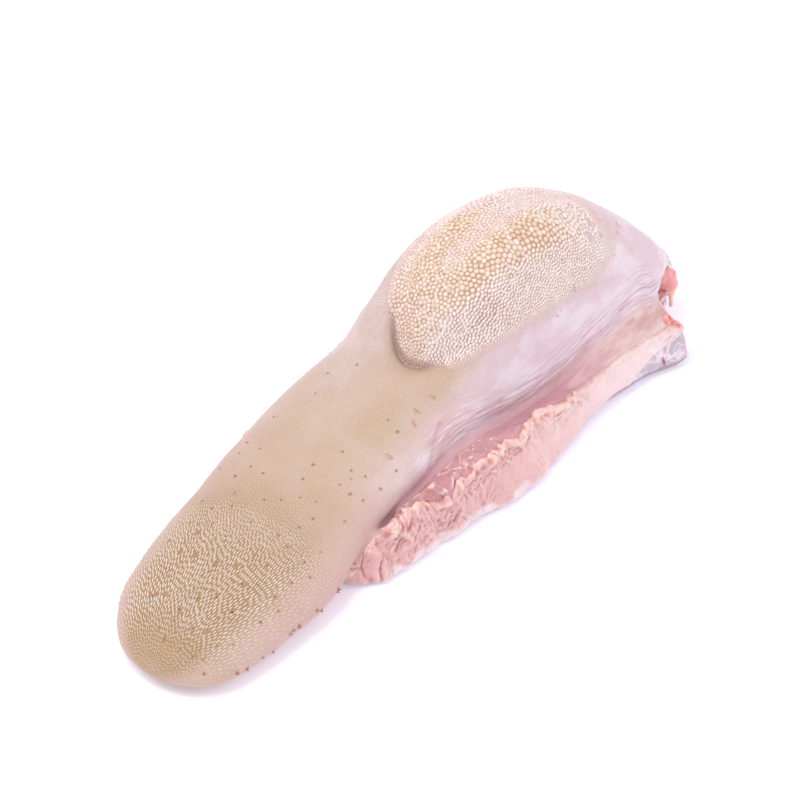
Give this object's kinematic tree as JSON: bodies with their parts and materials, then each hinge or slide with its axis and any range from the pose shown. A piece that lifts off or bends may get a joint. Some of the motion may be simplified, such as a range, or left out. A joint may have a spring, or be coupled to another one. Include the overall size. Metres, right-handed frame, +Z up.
{
  "type": "beef tongue",
  "caption": "Whole raw beef tongue lying on its root: flat blade, high back with a papillae-covered hump behind a crescent groove, and slack lining folded along its sides.",
  "frame": {"origin": "middle of the footprint, on the surface it lies on", "axes": "+Z up out of the back, -X to the tip of the tongue, +X to the cut root, -Y to the side that faces the viewer in the reference view"},
  "size_m": [0.3786, 0.1296, 0.1037],
  "materials": {
    "tongue": "raw moist meat: matt tan skin on the blade and hump, wet pink lining at the sides"
  },
  "bodies": {
    "root": {"tongue": "tongue"}
  },
  "joints": []
}
